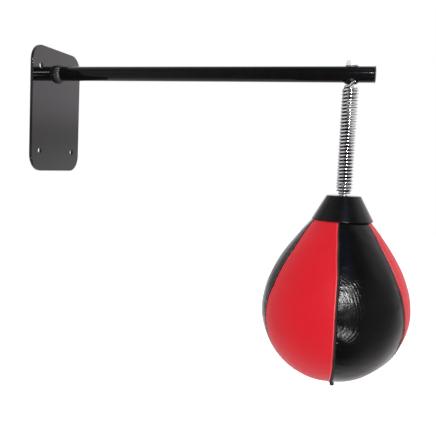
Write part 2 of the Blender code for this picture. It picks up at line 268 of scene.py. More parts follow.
# ---------------------------------------------------------------- camera
C_LOC = (0.589477, -0.9662722, -0.1496843)
RIGHT = Vector((0.959922, 0.27658, 0.045306))
DOWN = Vector((0.067887, -0.072618, -0.995047))
FWD = Vector((-0.271919, 0.958243, -0.088484))
cam_data = bpy.data.cameras.new("camera")
cam_data.sensor_width = 36
cam_data.lens = 597.2629 * 36 / 436
cam = bpy.data.objects.new("camera", cam_data)
m3 = Matrix((RIGHT, -DOWN, -FWD)).transposed()
cam.matrix_world = Matrix.Translation(C_LOC) @ m3.to_4x4()
ROOT.objects.link(cam)
bpy.context.scene.camera = cam
cam_data.clip_start, cam_data.clip_end = 0.01, 50

# ---------------------------------------------------------------- light
scene = bpy.context.scene
scene.view_settings.view_transform = "Standard"
scene.view_settings.look = "None"
scene.view_settings.exposure = 0
scene.view_settings.gamma = 1

BALL_MID = Vector((DROP_X, 0, -0.373))
to_cam = (Vector(C_LOC) - BALL_MID)
FRONT = Vector((to_cam.x, to_cam.y, 0)).normalized()
SIDE = Vector((-FRONT.y, FRONT.x, 0))           # to the right as the camera sees it


def direction(az, el):
    a, e = math.radians(az), math.radians(el)
    return (FRONT * math.cos(a) + SIDE * math.sin(a)) * math.cos(e) + Vector((0, 0, math.sin(e)))


world = bpy.data.worlds.new("studio")
scene.world = world
world.use_nodes = True
wt = world.node_tree
for n in list(wt.nodes):
    wt.nodes.remove(n)


def wnode(kind, **p):
    n = wt.nodes.new(kind)
    for k, v in p.items():
        setattr(n, k, v)
    return n


def wlink(a, b):
    wt.links.new(a, b)


def wmath(op, a, b=0.0):
    n = wnode("ShaderNodeMath", operation=op)
    for i, v in enumerate((a, b)):
        if isinstance(v, (int, float)):
            n.inputs[i].default_value = v
        else:
            wlink(v, n.inputs[i])
    return n.outputs[0]


def wdot(vec, axis):
    n = wnode("ShaderNodeVectorMath", operation="DOT_PRODUCT")
    wlink(vec, n.inputs[0])
    n.inputs[1].default_value = axis
    return n.outputs["Value"]


def wramp(fac, stops):
    n = wnode("ShaderNodeValToRGB")
    n.color_ramp.interpolation = "LINEAR"
    e = n.color_ramp.elements
    while len(e) > 1:
        e.remove(e[-1])
    e[0].position, e[0].color = stops[0][0], Mat.rgba(stops[0][1])
    for p, c in stops[1:]:
        x = e.new(p)
        x.color = Mat.rgba(c)
    wlink(fac, n.inputs["Fac"])
    return n.outputs["Color"]


tex = wnode("ShaderNodeTexCoord")
d = tex.outputs["Generated"]
az = wmath("ARCTAN2", wdot(d, SIDE), wdot(d, FRONT))
azf = wmath("ADD", wmath("DIVIDE", az, 2 * math.pi), 0.5)
el = wmath("ARCSINE", wdot(d, (0, 0, 1)))
elf = wmath("ADD", wmath("DIVIDE", el, math.pi), 0.5)


def A(deg):
    return deg / 360 + 0.5


def E(deg):
    return deg / 180 + 0.5


def multiply(x, y, mode="MULTIPLY"):
    n = wnode("ShaderNodeMix", data_type="RGBA", blend_type=mode)
    rg = [k for k in n.inputs if k.type == "RGBA"]
    [k for k in n.inputs if k.type == "VALUE"][0].default_value = 1.0
    for sock, v in zip(rg, (x, y)):
        if isinstance(v, tuple):
            sock.default_value = Mat.rgba(v)
        else:
            wlink(v, sock)
    return [k for k in n.outputs if k.type == "RGBA"][0]


# What shiny surfaces see. Brightness by compass direction, 0 is behind the camera, for three heights.
level = wramp(azf, [(0.0, 1.4), (A(-168), 2.4), (A(-155), 1.6), (A(-136), 0.85), (A(-104), 0.55), (A(-60), 0.60),
                    (A(-44), 0.60), (A(-34), 0.50), (A(-26), 0.34), (A(-18), 0.12), (A(-8), 0.03), (A(30), 0.03), (A(42), 0.40),
                    (A(60), 0.55), (A(90), 0.70), (A(108), 0.85), (A(124), 1.7), (A(136), 1.6), (A(142), 1.20), (A(152), 1.20), (1.0, 1.4)])
low = wramp(azf, [(0.0, 1.1), (A(-120), 1.3), (A(-90), 1.1), (A(-60), 0.70), (A(-35), 0.40), (A(-15), 0.06), (A(32), 0.05),
                  (A(60), 0.60), (A(95), 1.10), (A(130), 1.3), (1.0, 1.1)])
high = wramp(azf, [(0.0, 1.0), (A(-130), 1.0), (A(-100), 0.8), (A(-60), 0.40), (A(-35), 0.22), (A(-14), 0.03), (A(34), 0.03),
                   (A(58), 0.10), (A(75), 0.45), (A(95), 1.4), (A(130), 1.5), (1.0, 1.0)])
w_low = wramp(elf, [(0.0, 1.0), (E(-40), 1.0), (E(-16), 0.0), (1.0, 0.0)])
w_mid = wramp(elf, [(0.0, 0.0), (E(-40), 0.0), (E(-16), 0.95), (E(-3), 0.88), (E(-0.5), 0.78), (E(1.4), 0.62), (E(2.6), 0.64), (E(3.9), 0.86), (E(5.2), 1.0), (E(9), 1.08), (E(16), 1.0), (E(38), 0.0), (1.0, 0.0)])
w_high = wramp(elf, [(0.0, 0.0), (E(16), 0.0), (E(38), 1.0), (E(58), 0.9), (E(80), 0.35), (1.0, 0.25)])
room = multiply(multiply(multiply(level, w_mid), multiply(low, w_low), "ADD"), multiply(high, w_high), "ADD")
room = multiply(room, (1.0, 0.96, 0.995))
# a tall cool window strip, a little right of the camera
strip_az = wramp(azf, [(0.0, 0.0), (A(4), 0.0), (A(8), 1.0), (A(24), 1.0), (A(30), 0.0), (1.0, 0.0)])
strip_el = wramp(elf, [(0.0, 0.0), (E(-12), (0.0, 0.0, 0.0)), (E(6), (1.6, 1.6, 1.6)),
                       (E(30), (0.9, 1.0, 1.2)), (E(38), (0.45, 0.68, 1.30)), (E(60), (0.38, 0.58, 1.15)), (E(74), (0.20, 0.30, 0.55)),
                       (1.0, (0.04, 0.08, 0.2))])
room = multiply(room, multiply(strip_az, strip_el), "ADD")

# What lights the matt surfaces: an even tent of cloth, brighter in front.
fair = wdot(d, tuple(direction(22, 12)))
tent = wramp(wmath("ADD", wmath("MULTIPLY", fair, 0.5), 0.5), [(0.0, 0.66), (0.5, 0.88), (1.0, 1.55)])

bg_room = wnode("ShaderNodeBackground")
wlink(room, bg_room.inputs["Color"])
bg_tent = wnode("ShaderNodeBackground")
wlink(tent, bg_tent.inputs["Color"])
bg_white = wnode("ShaderNodeBackground")
bg_white.inputs["Color"].default_value = (1, 1, 1, 1)
lp = wnode("ShaderNodeLightPath")
by_gloss = wnode("ShaderNodeMixShader")
wlink(lp.outputs["Is Glossy Ray"], by_gloss.inputs[0])
wlink(bg_tent.outputs[0], by_gloss.inputs[1])
wlink(bg_room.outputs[0], by_gloss.inputs[2])
pick = wnode("ShaderNodeMixShader")
wlink(lp.outputs["Is Camera Ray"], pick.inputs[0])
wlink(by_gloss.outputs[0], pick.inputs[1])
wlink(bg_white.outputs[0], pick.inputs[2])
out = wnode("ShaderNodeOutputWorld")
wlink(pick.outputs[0], out.inputs["Surface"])


def softbox(name, az, el, dist, width, height, radiance, target=BALL_MID, colour=(1, 1, 1)):
    """An area light whose brightness is given as radiance, so its size doesn't change how bright it looks."""
    ld = bpy.data.lights.new(name, "AREA")
    ld.shape = "RECTANGLE"
    ld.size, ld.size_y = width, height
    ld.energy = radiance * width * height * math.pi
    ld.color = colour
    o = bpy.data.objects.new(name, ld)
    p = target + direction(az, el) * dist
    o.location = p
    o.rotation_mode = "QUATERNION"
    o.rotation_quaternion = (p - target).to_track_quat("Z", "Y")
    ROOT.objects.link(o)
    return o


for lamp in (softbox("key", 11, 23, 2.6, 0.40, 0.34, 200), softbox("table_glow", 16, -24, 2.4, 0.42, 0.30, 62)):
    lamp.visible_diffuse = False

# ---------------------------------------------------------------- floor
fm = Mat("floor_pale", rough=0.9, spec=0.1)
fm.colour(fm.ramp(fm.noise(3.0, 4), [(0.0, 0.90), (1.0, 0.93)]))
fm.b.inputs["Emission Color"].default_value = (1, 1, 1, 1)
fm.b.inputs["Emission Strength"].default_value = 0.70
s = 14.0
floor = add_mesh("floor", [(-s, -s, -1.7), (s, -s, -1.7), (s, s, -1.7), (-s, s, -1.7)], [(0, 1, 2, 3)], [fm.m], smooth=False)
floor.visible_glossy = False
floor.visible_diffuse = False

# ---------------------------------------------------------------- materials
# Black paint on the bracket: smooth, faint orange peel, slightly duller patches.
paint = Mat("bracket_paint", rough=0.2, spec=0.21)
paint.colour(paint.ramp(paint.noise(60, 4), [(0.3, (0.0052, 0.0050, 0.0052)), (0.7, (0.0072, 0.0068, 0.0070))]))
paint.rough(paint.remap(paint.noise(24, 5, 0.6), 0.3, 0.7, 0.05, 0.09))
paint.normal(paint.bump(paint.noise(260, 2, 0.5), 0.035, 0.0003))

plate_paint = Mat("plate_paint", rough=0.25, spec=0.5)
plate_paint.colour(plate_paint.ramp(plate_paint.noise(45, 4), [(0.3, (0.0060, 0.0056, 0.0060)), (0.7, (0.0080, 0.0076, 0.0080))]))
plate_paint.rough(plate_paint.remap(plate_paint.noise(18, 5, 0.6), 0.3, 0.7, 0.025, 0.06))
plate_paint.normal(plate_paint.bump(plate_paint.noise(150, 2, 0.5), 0.02, 0.0003))

weld_paint = Mat("weld_paint", rough=0.35, spec=0.3)
weld_paint.colour(weld_paint.ramp(weld_paint.noise(300, 4), [(0.3, (0.016, 0.015, 0.016)), (0.7, (0.046, 0.044, 0.046))]))
weld_paint.rough(weld_paint.remap(weld_paint.noise(400, 3, 0.6), 0.3, 0.7, 0.26, 0.44))
weld_paint.normal(weld_paint.bump(weld_paint.noise(700, 2, 0.5), 0.2, 0.0003))

plastic = Mat("cap_plastic", rough=0.24, spec=0.18)
plastic.colour(plastic.ramp(plastic.noise(80, 3), [(0.3, (0.0048, 0.0045, 0.0047)), (0.7, (0.0066, 0.0062, 0.0064))]))
plastic.rough(plastic.remap(plastic.noise(35, 4, 0.6), 0.3, 0.7, 0.2, 0.29))
plastic.normal(plastic.bump(plastic.noise(700, 2, 0.6), 0.08, 0.0003))

chrome = Mat("spring_chrome", rough=0.09, metal=0.85)
bright = chrome.ramp(chrome.noise(160, 3), [(0.3, (0.90, 0.90, 0.91)), (0.7, (0.96, 0.96, 0.97))])
# painted shade: the between attribute mixes the chrome toward near-black where the wire faces its neighbouring coils
# and the inside of the spring
coil_shade_at = chrome.node("ShaderNodeAttribute", attribute_name="between")
coil_shade_fac = chrome.math("ADD", coil_shade_at.outputs["Fac"], chrome.remap(chrome.noise(300, 3), 0.3, 0.7, -0.06, 0.06))
chrome.colour(chrome.mix(chrome.remap(coil_shade_fac, 0.46, 0.62, 0.0, 1.0), bright, (0.012, 0.010, 0.010)))
chrome.rough(chrome.remap(chrome.noise(220, 4, 0.6), 0.3, 0.7, 0.05, 0.13))
chrome.normal(chrome.bump(chrome.noise(900, 2, 0.5), 0.06, 0.0002))

zinc = Mat("zinc_plate", rough=0.25, metal=0.30)
zinc.colour(zinc.ramp(zinc.noise(120, 4), [(0.3, (0.80, 0.80, 0.82)), (0.7, (0.92, 0.92, 0.93))]))
zinc.rough(zinc.remap(zinc.noise(260, 4, 0.6), 0.3, 0.7, 0.30, 0.42))
zinc.normal(zinc.bump(zinc.noise(1400, 2, 0.5), 0.12, 0.0002))

buffer = Mat("saddle_rubber", rough=0.45, spec=0.15)
buffer.colour(buffer.ramp(buffer.noise(200, 3), [(0.3, (0.0026, 0.0025, 0.0026)), (0.7, (0.0042, 0.0040, 0.0041))]))
buffer.rough(buffer.remap(buffer.noise(300, 3), 0.3, 0.7, 0.38, 0.52))
buffer.normal(buffer.bump(buffer.noise(900, 2), 0.15, 0.0002))

rubber = Mat("valve_rubber", rough=0.6)
rubber.colour(rubber.ramp(rubber.noise(300, 3), [(0.3, (0.008, 0.008, 0.008)), (0.7, (0.014, 0.014, 0.014))]))
rubber.rough(rubber.remap(rubber.noise(500, 3), 0.3, 0.7, 0.5, 0.7))
rubber.normal(rubber.bump(rubber.noise(1500, 2), 0.2, 0.0002))

wood = Mat("neck_wood", rough=0.6)
wood.colour(wood.ramp(wood.noise(30, 6, 0.6, 1.5, wood.mapped((1, 6, 1))), [(0.3, (0.30, 0.19, 0.10)), (0.7, (0.46, 0.31, 0.18))]))
wood.rough(wood.remap(wood.noise(120, 4), 0.3, 0.7, 0.5, 0.7))
wood.normal(wood.bump(wood.noise(200, 4, 0.6, 1.0, wood.mapped((1, 8, 1))), 0.3, 0.0004))

N = frame["nodes"]


def dress(node, mat):
    o = N[node]
    o.data.materials.clear()
    o.data.materials.append(mat.m)


for node in ("arm_tube", "root_weld"):
    dress(node, paint)
dress("wall_plate", plate_paint)
for node in ("arm_end_plug", "arm_saddle", "neck_cap", "neck_spacer"):
    dress(node, plastic)
for node in ("top_washer", "top_nut", "upper_spring_bolt", "upper_spring_seat", "lower_spring_seat", "lower_spring_bolt",
             "cap_washer", "neck_washer", "neck_nut"):
    dress(node, zinc)
for node in ("spring_upper", "spring_lower"):
    dress(node, chrome)
for node in ("bladder", "valve"):
    dress(node, rubber)
dress("neck_disc", wood)


# ---------------------------------------------------------------- leather
def smooth01(t):
    t = max(0.0, min(1.0, t))
    return t * t * (3 - 2 * t)


BALL_Z, BALL_R, NECK_SPAN, LOW_SPAN, LOW_POWER = -0.373, 0.117, 0.194, 0.1142, 1.94
MOUTH_Z, POLE_Z = -0.199, -0.4872
SEAM_LON = math.atan2(FRONT.y, FRONT.x)           # the seam that faces the camera
DRIFT = [[(-0.199, -3.5), (-0.232, -3.0), (-0.266, -0.4), (-0.307, 1.4), (-0.362, 1.6), (-0.391, 2.2), (-0.425, 2.9), (-0.449, 3.8), (-0.485, 5.5)],
         [(-0.199, 62.0), (-0.232, 62.5), (-0.266, 58.4), (-0.309, 59.5), (-0.337, 61.8), (-0.368, 63.8), (-0.401, 67.6), (-0.430, 72.0), (-0.455, 74.0), (-0.485, 74.0)],
         [(-0.199, -63.0), (-0.237, -63.5), (-0.276, -58.4), (-0.323, -59.6), (-0.356, -63.0), (-0.389, -64.6), (-0.422, -65.0), (-0.454, -62.6), (-0.485, -60.0)]]


def follow(pts, z):
    if z >= pts[0][0]:
        return pts[0][1]
    for (z0, s0), (z1, s1) in zip(pts, pts[1:]):
        if z >= z1:
            return s0 + (s1 - s0) * smooth01((z - z0) / (z1 - z0))
    return pts[-1][1]


def seam_lon(k, z):
    """Longitude in degrees of seam k at height z, counted from the side that faces front."""
    front, right, left = (follow(t, z) for t in DRIFT)
    back = (360 + left - right) / 4
    return (front, right, right + back, right + 2 * back, right + 3 * back, 360 + left, 360 + front)[k]


def ball_radius(z):
    if z >= BALL_Z:
        return BALL_R * math.cos(math.pi / 2 * (z - BALL_Z) / NECK_SPAN)
    q = max(0.0, 1 - abs((z - BALL_Z) / LOW_SPAN) ** LOW_POWER)
    return BALL_R * math.sqrt(q)


def lean(z):
    """The bag is stuffed a little to one side, more so towards its closed end."""
    pts = [(-0.199, 0.0), (-0.223, 0.0016), (-0.300, 0.0024), (-0.377, 0.0035), (-0.435, 0.0049), (-0.466, 0.0059), (-0.485, 0.0066)]
    amount = pts[-1][1]
    for (z0, s0), (z1, s1) in zip(pts, pts[1:]):
        if z >= z1:
            amount = s0 + (s1 - s0) * (z - z0) / (z1 - z0)
            break
    return amount * (1.0 if z > BALL_Z else smooth01(ball_radius(z) / 0.040))


# places down the panel, evenly spaced along the leather
fine = [MOUTH_Z + (BALL_Z - MOUTH_Z) * k / 2000 for k in range(2000)] + [BALL_Z - LOW_SPAN * math.sin(math.pi / 2 * k / 2000) ** (2 / LOW_POWER) for k in range(2001)]
dist = [0.0]
for a, b in zip(fine, fine[1:]):
    dist.append(dist[-1] + math.hypot(b - a, ball_radius(b) - ball_radius(a)))
LENGTH = dist[-1]
END = LENGTH - 0.0046


def z_at(s):
    lo_i, hi_i = 0, len(dist) - 1
    while hi_i - lo_i > 1:
        mid = (lo_i + hi_i) // 2
        if dist[mid] <= s:
            lo_i = mid
        else:
            hi_i = mid
    f = (s - dist[lo_i]) / max(1e-12, dist[hi_i] - dist[lo_i])
    return fine[lo_i] + (fine[hi_i] - fine[lo_i]) * f


STITCH = 0.0042
ROWS = int(END / (STITCH / 4))
ROW_S = [END * k / ROWS for k in range(ROWS + 1)]
ROW_Z = [z_at(s) for s in ROW_S]


def row_frame(i):
    """Middle, radius and outward slope of the ball at a row."""
    z = ROW_Z[i]
    a, b = ROW_Z[max(0, i - 1)], ROW_Z[min(ROWS, i + 1)]
    ra, rb = ball_radius(a), ball_radius(b)
    ln = math.hypot(b - a, rb - ra) or 1.0
    return z, ball_radius(z), (a - b) / ln, (rb - ra) / ln      # radial part and upward part of the normal


FRAMES = [row_frame(i) for i in range(ROWS + 1)]
LEAN = [-SIDE * lean(z) for z in ROW_Z]


SEAM_AT = [[seam_lon(k, z) for z in ROW_Z] for k in range(7)]


def surface(i, lon, height):
    """A point on row i at a longitude in degrees from the front seam, height above the ball's plain surface."""
    z, r, nr, nz = FRAMES[i]
    t = SEAM_LON + math.radians(lon)
    rr = r + nr * height
    return Vector((DROP_X + rr * math.cos(t) + LEAN[i].x, rr * math.sin(t) + LEAN[i].y, z + nz * height))


def leather_panel(name, k, mats, soft, welt):
    """One gore of the cover: crowned leather with its edges rolled down into the seams."""
    edge = [0.00080, 0.00105, 0.0013, 0.0016, 0.0021, 0.0028, 0.0036, 0.0048, 0.0064, 0.0085, 0.0115, 0.0150]
    middle = 15
    cols = 2 * len(edge) + middle
    outer, inner = [], []
    rnd = noise
    for i in range(ROWS + 1):
        z, r, nr, nz = FRAMES[i]
        lon0, lon1 = SEAM_AT[k][i], SEAM_AT[k + 1][i]
        width = r * math.radians(lon1 - lon0)
        # edge spacings shrink where the panel is narrow
        f = min(1.0, width * 0.42 / edge[-1])
        d = [e * f for e in edge]
        pos = d + [d[-1] + (width - 2 * d[-1]) * (j + 1) / (middle + 1) for j in range(middle)] + [width - e for e in reversed(d)]
        s = ROW_S[i]
        phase = (s / STITCH) % 1.0
        pucker = 0.5 - 0.5 * math.cos(2 * math.pi * phase)             # 0 at each stitch, 1 between
        neck = smooth01((z + 0.232) / -0.02)
        row_o, row_i = [], []
        for x in pos:
            e = min(x, width - x)
            lon = lon0 + math.degrees(x / max(r, 1e-6))
            # rolled edge, welt, then the crown
            roll = -0.0026 * math.exp(-(e / 0.00085) ** 2)
            lip = welt * math.exp(-((e - 0.0022) / 0.0012) ** 2)
            dip = -0.00015 * math.exp(-((e - 0.0062) / 0.0032) ** 2) * neck
            stitch_pull = -0.00080 * (1 - pucker) * math.exp(-(e / 0.0021) ** 2)
            wide = max(width, 1e-4)
            crown = 0.0011 * math.sin(math.pi * x / wide) * neck * min(1.0, wide / 0.05) if 0 < x < wide else 0.0
            base = -0.0009 * neck * min(1.0, wide / 0.05)
            p = surface(i, lon, 0.0)
            lump = 0.00055 * noise.noise(p * 26 + Vector((k * 3.1, 0, 0))) + 0.00022 * noise.noise(p * 70 + Vector((0, k * 1.7, 4)))
            h = (roll + lip + dip + stitch_pull) * min(1.0, wide / 0.02) + crown + base + lump * smooth01(e / 0.004) * soft
            # drag lines that run from the stitches into the panel
            pull = 0.00010 * math.sin(2 * math.pi * (s / 0.0126) + 3.0 * noise.noise(p * 55)) * math.exp(-(e / 0.012) ** 2) * soft
            h += pull * smooth01(e / 0.002)
            row_o.append(surface(i, lon, h))
            row_i.append(surface(i, lon, min(h, 0) * 0.3 - 0.0036 if width > 0.004 else h - 0.0022))
        outer.append(row_o)
        inner.append(row_i)
    n = len(outer[0])
    verts = [v for row in outer for v in row] + [v for row in inner for v in row]
    off = (ROWS + 1) * n
    faces, painted_edge_faces = [], {}
    for i in range(ROWS):
        for j in range(n - 1):
            a, b, c, e = i * n + j, i * n + j + 1, (i + 1) * n + j + 1, (i + 1) * n + j
            # faces on the welt beside each seam take the second slot: on the red panels a brighter red, a painted
            # highlight along the raised edge
            if 1 <= min(j, n - 2 - j) <= 5:
                painted_edge_faces[len(faces)] = 1
            faces.append((a, b, c, e))
            faces.append((off + e, off + c, off + b, off + a))
        a, b = i * n, (i + 1) * n
        faces.append((a, b, off + b, off + a))
        a, b = i * n + n - 1, (i + 1) * n + n - 1
        faces.append((b, a, off + a, off + b))
    for j in range(n - 1):
        faces.append((j + 1, j, off + j, off + j + 1))
        a, b = ROWS * n + j, ROWS * n + j + 1
        faces.append((a, b, off + b, off + a))
    o = add_mesh(name, verts, faces, mats, True, 75)
    for f, m in painted_edge_faces.items():
        o.data.polygons[f].material_index = m
    return o


def leather(name, dark, light, rough_lo, rough_hi, grain, crease, spec=0.5, sheen=0.0, coat=0.0, coat_rough=0.3, arcs=0.0):
    m = Mat(name, rough=0.4, spec=spec, sheen=sheen, coat=coat, coat_rough=coat_rough)
    tone = m.noise(22, 5, 0.62)
    cells = m.voronoi(620, "DISTANCE_TO_EDGE")
    fine_cells = m.voronoi(1300, "DISTANCE_TO_EDGE")
    base = m.ramp(tone, [(0.30, dark), (0.70, light)])
    pits = m.remap(cells, 0.0, 0.10, 0.0, 1.0)
    deep = tuple(c * 0.80 for c in dark)
    m.colour(m.mix(m.remap(pits, 0, 1, 0.30, 0.0), base, deep))
    wear = m.noise(90, 4, 0.6)
    m.rough(m.remap(wear, 0.3, 0.7, rough_lo, rough_hi))
    n1 = m.bump(m.ramp(cells, [(0.0, 0.0), (0.16, 1.0)], True), grain, 0.00022)
    n2 = m.bump(m.ramp(fine_cells, [(0.0, 0.0), (0.2, 1.0)], True), grain * 0.5, 0.00012, n1)
    # fine creases lying across the panel
    bend = m.noise(34, 3, 0.5)
    warp = m.node("ShaderNodeVectorMath", operation="MULTIPLY_ADD")
    wn = m.node("ShaderNodeTexNoise")
    wn.inputs["Scale"].default_value = 30
    wn.inputs["Detail"].default_value = 2
    m.link(m.coord, wn.inputs["Vector"])
    m.link(wn.outputs["Color"], warp.inputs[0])
    warp.inputs[1].default_value = (0.0025, 0.0025, 0.0080)
    m.link(m.coord, warp.inputs[2])
    stretched = m.node("ShaderNodeMapping")
    stretched.inputs["Scale"].default_value = (0.20, 0.20, 1.0)
    m.link(warp.outputs[0], stretched.inputs["Vector"])
    lines = m.noise(300, 3, 0.6, 0.3, stretched.outputs["Vector"])
    where = m.remap(m.noise(16, 2, 0.5), 0.42, 0.62, 0.25, 1.0)
    n3 = m.bump(m.math("MULTIPLY", lines, where), crease, 0.0005, n2)
    if arcs:
        # fine creases that ring the fullest part of the panel beside its seam
        centred = m.mapped(loc=(-(DROP_X - 0.016), 0.108, 0.352))
        wave = m.node("ShaderNodeTexWave", wave_type="RINGS", rings_direction="SPHERICAL", wave_profile="SIN")
        for key, v in (("Scale", 72.0), ("Distortion", 6.0), ("Detail", 3.0), ("Detail Scale", 0.55), ("Detail Roughness", 0.65)):
            wave.inputs[key].default_value = v
        m.link(centred, wave.inputs["Vector"])
        far = m.node("ShaderNodeVectorMath", operation="LENGTH")
        m.link(centred, far.inputs[0])
        near = m.remap(far.outputs["Value"], 0.045, 0.100, 1.0, 0.30)
        patchy = m.remap(m.noise(75, 3, 0.6), 0.38, 0.62, 0.10, 1.0)
        n3 = m.bump(m.math("MULTIPLY", m.math("MULTIPLY", wave.outputs["Fac"], near), patchy), arcs, 0.00020, n3)
    m.normal(n3)
    return m


red = leather("red_leather", (0.585, 0.0062, 0.0160), (0.635, 0.0080, 0.0192), 0.46, 0.56, 0.16, 0.06, spec=0.045, sheen=0.20)
black = leather("black_leather", (0.0034, 0.0032, 0.0033), (0.0048, 0.0045, 0.0047), 0.15, 0.20, 0.12, 0.35, spec=0.14, arcs=1.0)
# a brighter red for the welts beside the seams: painted highlight standing in for the light the raised edge catches
red_edge_highlight = Mat("seam_red_leather", rough=0.4, spec=0.5)
red_edge_highlight.colour(red_edge_highlight.ramp(red_edge_highlight.noise(200, 3), [(0.3, (0.72, 0.010, 0.022)), (0.7, (0.86, 0.016, 0.030))]))
red_edge_highlight.rough(red_edge_highlight.remap(red_edge_highlight.noise(240, 3), 0.3, 0.7, 0.34, 0.46))
red_edge_highlight.normal(red_edge_highlight.bump(red_edge_highlight.voronoi(700, "DISTANCE_TO_EDGE"), 0.15, 0.0002))

thread = Mat("black_thread", rough=0.7)
thread.colour(thread.ramp(thread.noise(1500, 3), [(0.3, (0.004, 0.004, 0.004)), (0.7, (0.010, 0.010, 0.010))]))
thread.rough(thread.remap(thread.noise(1800, 2), 0.3, 0.7, 0.55, 0.8))
thread.normal(thread.bump(thread.noise(2600, 2, 0.5, 0.0, thread.mapped((1, 1, 3))), 0.5, 0.0002))

PANELS = ["panel_front_right_black", "panel_right_red", "panel_back_right_black", "panel_back_left_red", "panel_left_black", "panel_front_left_red"]
for k, cad in enumerate(PANELS):
    is_red = "red" in cad
    piece = leather_panel("leather_" + cad[6:], k, [red.m, red_edge_highlight.m] if is_red else [black.m, black.m], 1.0 if not is_red else 0.8, 0.00055 if is_red else 0.0002)
    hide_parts(cad)
    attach(piece, "ball")


def seam_cord(name, k):
    """The sewn line between two panels: a sunk black filler strip with a stitch across it every few millimetres."""
    verts, faces = [], []
    half = 0.0013
    prof = [(-1.0, -0.0030), (-0.9, -0.0016), (0.0, -0.0010), (0.9, -0.0016), (1.0, -0.0030)]
    n = len(prof)
    last = 0
    for i in range(0, ROWS + 1, 2):
        z, r, nr, nz = FRAMES[i]
        w = min(half, r * 0.12)
        lon = SEAM_AT[k][i]
        for u, h in prof:
            verts.append(surface(i, lon + math.degrees(u * w / max(r, 1e-6)), h - 0.0006))
        last += 1
    for i in range(last - 1):
        for j in range(n):
            a, b = i * n + j, i * n + (j + 1) % n
            faces.append((a, b, b + n, a + n))
    faces.append(tuple(range(n)))
    faces.append(tuple(reversed(range((last - 1) * n, last * n))))
    # stitches
    count = int(END / STITCH)
    for c in range(1, count):
        s = c * STITCH
        i = min(ROWS, round(s / END * ROWS))
        z, r, nr, nz = FRAMES[i]
        if r < 0.010:
            continue
        lon = SEAM_AT[k][i]
        t = SEAM_LON + math.radians(lon)
        normal = Vector((nr * math.cos(t), nr * math.sin(t), nz)).normalized()
        across = Vector((-math.sin(t), math.cos(t), 0))
        down = normal.cross(across).normalized()
        mid = surface(i, lon, 0.0)
        ax = (across * 0.93 + down * 0.36).normalized()
        side = normal.cross(ax).normalized()
        base = len(verts)
        rings, seg = 7, 8
        for a in range(rings):
            u = -1 + 2 * a / (rings - 1)
            rad = 0.00066 * math.sqrt(max(0.06, 1 - 0.55 * u * u))
            c0 = mid + ax * (u * 0.0023) + normal * (0.0001 - 0.0009 * u * u)
            for b in range(seg):
                q = 2 * math.pi * b / seg
                verts.append(c0 + side * (rad * math.cos(q)) + normal * (rad * math.sin(q)))
        for a in range(rings - 1):
            for b in range(seg):
                p0, p1 = base + a * seg + b, base + a * seg + (b + 1) % seg
                faces.append((p0, p1, p1 + seg, p0 + seg))
        faces.append(tuple(base + b for b in range(seg)))
        faces.append(tuple(base + (rings - 1) * seg + b for b in reversed(range(seg))))
    return add_mesh(name, verts, faces, [thread.m], True, 50)


for k in range(6):
    o = seam_cord("seam_%d" % (k + 1), k)
    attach(o, "ball")

# ---------------------------------------------------------------- spring
COIL_R, END_R, WIRE_R, PITCH = 0.0116, 0.0086, 0.0021, 0.00535
SPRING_TOP, SPRING_LOW, CONE = -0.0173, -0.1857, 0.008


def coil_point(z, swell=0.0):
    t = 2 * math.pi * (SPRING_TOP - z) / PITCH
    r = COIL_R
    for d in (SPRING_TOP - z, z - SPRING_LOW):
        if d < CONE:
            r = min(r, END_R + (COIL_R - END_R) * smooth01(d / CONE))
    return Vector((DROP_X + r * math.cos(-t), r * math.sin(-t), z)), t


def coil(name, z0, z1, per_turn=56, sides=16, taper0=False, taper1=False):
    """Part of the wire, swept as a closed tube."""
    n = int((z0 - z1) / PITCH * per_turn)
    path = [coil_point(z0 + (z1 - z0) * i / n)[0] for i in range(n + 1)]
    if taper0:
        # the wire's end rises in front of the arm before it joins the first turn
        skip = int(per_turn * 0.30)
        tail = [Vector((DROP_X + x, y, z)) for x, y, z in ((0.0078, -0.0150, -0.0116), (0.0062, -0.0146, -0.0125), (0.0044, -0.0138, -0.0137), (0.0022, -0.0126, -0.0151))]
        ctrl = tail + [path[skip], path[skip + 4]]
        run = []
        for i in range(len(ctrl) - 2):
            p0, p1, p2, p3 = ctrl[max(0, i - 1)], ctrl[i], ctrl[i + 1], ctrl[i + 2]
            for q in range(6):
                t = q / 6
                run.append(0.5 * ((2 * p1) + (p2 - p0) * t + (2 * p0 - 5 * p1 + 4 * p2 - p3) * t * t + (3 * p1 - p0 - 3 * p2 + p3) * t ** 3))
        path = run + path[skip:]
    n = len(path) - 1
    verts, faces = [], []
    for i, p in enumerate(path):
        tang = (path[min(n, i + 1)] - path[max(0, i - 1)]).normalized()
        out_dir = Vector((p.x - DROP_X, p.y, 0)).normalized()
        up = tang.cross(out_dir).normalized()
        out_dir = up.cross(tang).normalized()
        w = WIRE_R
        if taper0 and i < 4:
            w *= 0.75 + 0.25 * smooth01(i / 4)
        if taper1 and n - i < 14:
            w *= 0.35 + 0.65 * smooth01((n - i) / 6)
        for k in range(sides):
            a = 2 * math.pi * k / sides
            verts.append(p + (out_dir * math.cos(a) + up * math.sin(a)) * w)
    for i in range(n):
        for k in range(sides):
            a, b = i * sides + k, i * sides + (k + 1) % sides
            faces.append((a, b, b + sides, a + sides))
    faces.append(tuple(reversed(range(sides))))
    faces.append(tuple(n * sides + k for k in range(sides)))
    o = add_mesh(name, verts, faces, [chrome.m], True, 60)
    # painted shade: how far each point faces its neighbouring coils or the inside, where the chrome is painted
    # near-black in place of the shade between the turns
    ring = [min(1.0, abs(math.sin(2 * math.pi * k / sides))) if math.cos(2 * math.pi * k / sides) > 0 else 1.0 for k in range(sides)]
    between = ring * (n + 1)
    at = o.data.attributes.new("between", "FLOAT", "POINT")
    at.data.foreach_set("value", between)
    return o


